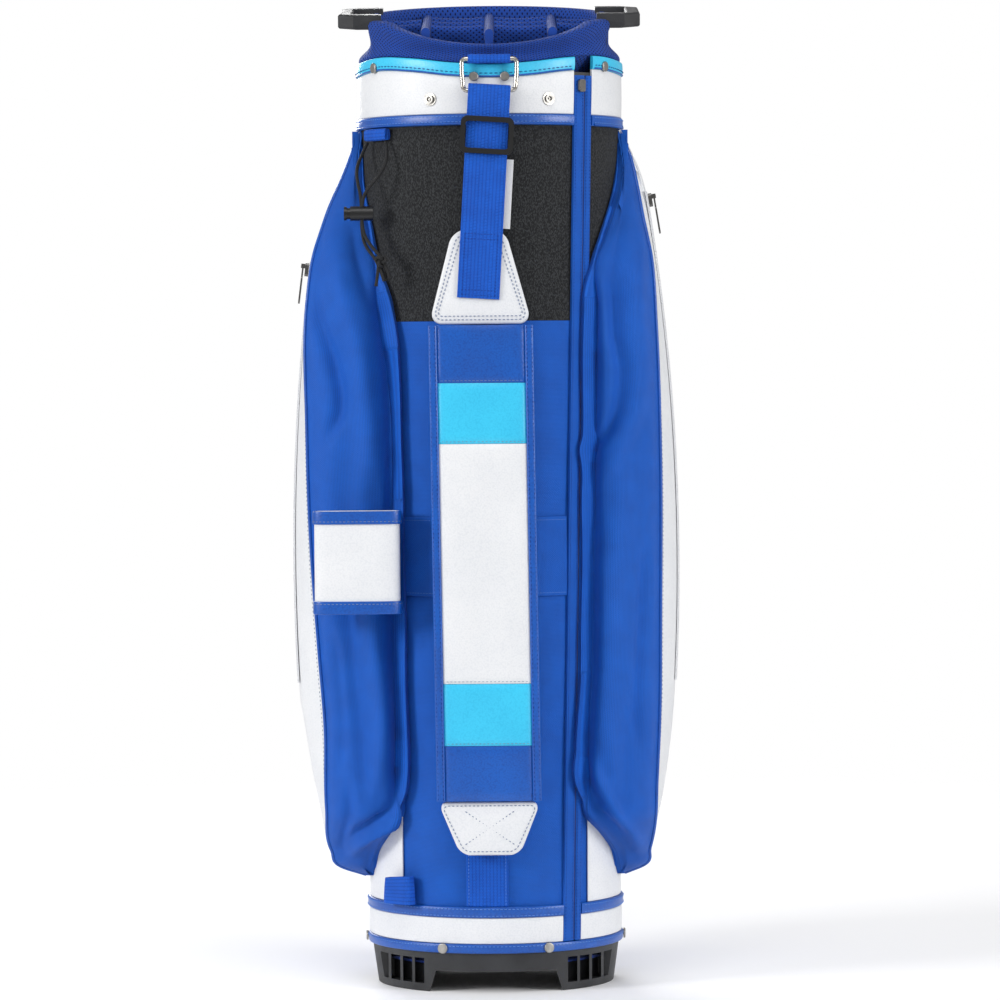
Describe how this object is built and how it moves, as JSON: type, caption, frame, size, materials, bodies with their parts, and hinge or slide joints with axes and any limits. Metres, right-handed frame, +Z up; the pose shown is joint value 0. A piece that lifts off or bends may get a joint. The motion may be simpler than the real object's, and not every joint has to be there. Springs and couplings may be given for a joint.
{
  "type": "golf bag",
  "caption": "Upright cart-style golf bag: oval fabric tube on a moulded base, padded divided mouth, moulded handles, shoulder strap on a ring, umbrella sleeve and zipped pockets.",
  "frame": {"origin": "middle of the bag's box, on the floor that the base stands on", "axes": "+Z up; -Y towards the shoulder strap, +Y towards the ball pocket, +X to the right when facing the strap"},
  "size_m": [0.3468, 0.3306, 0.8838],
  "materials": {
    "blue_fabric": "ribbed polyester, royal blue",
    "black_fabric": "black marl polyester",
    "blue_mesh": "padded blue mesh",
    "divider_fabric": "thin black lining fabric",
    "blue_webbing": "woven blue webbing",
    "white_skin": "white coated fabric with a fine grain",
    "blue_skin": "blue coated fabric, half gloss",
    "cyan_skin": "cyan coated fabric, half gloss",
    "black_moulding": "moulded black plastic, fine texture",
    "ring_metal": "nickel plate",
    "zip_metal": "dark nickel plate",
    "rod_metal": "mill finish",
    "pad_foam": "foam pad under blue fabric",
    "cord_black": "braided elastic cord",
    "zip_tape": "woven tape with a coil",
    "blue_plastic": "blue lacquered slider",
    "spring_steel": "wire"
  },
  "bodies": {
    "bag": {"ball_pocket": "white_skin", "base_band": "white_skin", "base_cup": "black_moulding", "base_floor_pad": "divider_fabric", "base_lower_trim": "blue_skin", "base_rivets": "zip_metal", "base_upper_trim": "blue_skin", "body_lower": "blue_fabric", "body_upper": "black_fabric", "collar_band": "white_skin", "collar_blue_trim": "blue_skin", "collar_cyan_trim": "cyan_skin", "collar_rivets": "black_moulding", "cord_knot": "cord_black", "cord_tab": "blue_webbing", "divider_bars": "blue_mesh", "divider_sheets": "divider_fabric", "front_zips": "zip_tape", "handle_left": "black_moulding", "handle_right": "black_moulding", "hood_snaps": "ring_metal", "lower_wrap": "white_skin", "ring_tab": "blue_webbing", "side_pocket_left": "white_skin", "side_pocket_right": "white_skin", "side_zip_left": "zip_tape", "side_zip_right": "zip_tape", "sleeve_bindings": "blue_skin", "spine_zip": "zip_tape", "stay_rods": "rod_metal", "strap_anchor": "blue_webbing", "tab_rivets": "ring_metal", "top_cuff": "blue_mesh", "top_frame": "black_moulding", "umbrella_cord": "cord_black", "umbrella_loop": "blue_webbing", "umbrella_sleeve": "white_skin", "valuables_pocket": "white_skin", "waist_band": "blue_fabric"},
    "ring": {"d_ring": "ring_metal"},
    "strap": {"strap_webbing": "blue_webbing", "strap_return": "blue_webbing", "strap_backing": "white_skin", "strap_pad": "pad_foam", "strap_top_patch": "white_skin", "strap_bottom_patch": "white_skin"},
    "strap_buckle": {"strap_slider": "black_moulding", "slider_wrap": "blue_webbing"},
    "cord_lock": {"cord_lock_barrel": "black_moulding", "cord_lock_spring": "spring_steel"},
    "lock_button": {"cord_lock_button": "black_moulding"},
    "long_zip_slider": {"spine_zip_slider": "blue_plastic"},
    "left_zip_slider": {"side_slider_left": "zip_metal"},
    "left_zip_pull": {"side_pull_left": "zip_metal"},
    "right_zip_slider": {"side_slider_right": "zip_metal"},
    "right_zip_pull": {"side_pull_right": "zip_metal"},
    "ball_zip_slider": {"ball_slider": "zip_metal"},
    "ball_zip_pull": {"ball_pull": "zip_metal"},
    "valuables_zip_slider": {"valuables_slider": "zip_metal"},
    "valuables_zip_pull": {"valuables_pull": "zip_metal"}
  },
  "joints": [
    {"name": "ring_tilt", "type": "hinge", "parent": "bag", "child": "ring", "pos_m": [0.006, -0.1548, 0.821], "axis": [-1, 0, 0], "range_deg": [0, 45]},
    {"name": "strap_hang", "type": "hinge", "parent": "ring", "child": "strap", "pos_m": [0.006, -0.1548, 0.7936], "axis": [-1, 0, 0], "range_deg": [-47.2, 0]},
    {"name": "buckle_slide", "type": "slide", "parent": "strap", "child": "strap_buckle", "axis": [-0.061, 0, -0.9981], "range_m": [0, 0.06]},
    {"name": "lock_slide", "type": "slide", "parent": "bag", "child": "cord_lock", "axis": [0, 0, -1], "range_m": [0, 0.005]},
    {"name": "lock_press", "type": "slide", "parent": "cord_lock", "child": "lock_button", "axis": [1, 0, 0], "range_m": [0, 0.003], "stiffness_N_per_m": 600, "springref_m": -0.003, "deforming": ["cord_lock_spring"]},
    {"name": "long_zip", "type": "slide", "parent": "bag", "child": "long_zip_slider", "axis": [-0.0197, -0.0073, -0.9998], "range_m": [0, 0.7402]},
    {"name": "left_zip", "type": "hinge", "parent": "bag", "child": "left_zip_slider", "pos_m": [1.928, -0.0453, 0.38], "axis": [0, -1, 0], "range_deg": [0, 9.83]},
    {"name": "left_pull_lift", "type": "hinge", "parent": "left_zip_slider", "child": "left_zip_pull", "pos_m": [-0.16224, -0.0453, 0.64365], "axis": [0, 1, 0], "range_deg": [0, 120]},
    {"name": "right_zip", "type": "hinge", "parent": "bag", "child": "right_zip_slider", "pos_m": [-1.828, -0.0453, 0.38], "axis": [0, 1, 0], "range_deg": [0, 12.06]},
    {"name": "right_pull_lift", "type": "hinge", "parent": "right_zip_slider", "child": "right_zip_pull", "pos_m": [0.1525, -0.0453, 0.70383], "axis": [0, -1, 0], "range_deg": [0, 120]},
    {"name": "ball_zip", "type": "slide", "parent": "bag", "child": "ball_zip_slider", "axis": [-1, 0, 0], "range_m": [0, 0.12]},
    {"name": "ball_pull_lift", "type": "hinge", "parent": "ball_zip_slider", "child": "ball_zip_pull", "pos_m": [0.066, 0.1635, 0.388], "axis": [1, 0, 0], "range_deg": [0, 120]},
    {"name": "valuables_zip", "type": "slide", "parent": "bag", "child": "valuables_zip_slider", "axis": [-1, 0, 0], "range_m": [0, 0.088]},
    {"name": "valuables_pull_lift", "type": "hinge", "parent": "valuables_zip_slider", "child": "valuables_zip_pull", "pos_m": [0.05, 0.1395, 0.693], "axis": [1, 0, 0], "range_deg": [0, 120]}
  ],
  "couplings": [
    {"joint": "strap_hang", "follows": "ring_tilt", "ratio": -1.037}
  ]
}
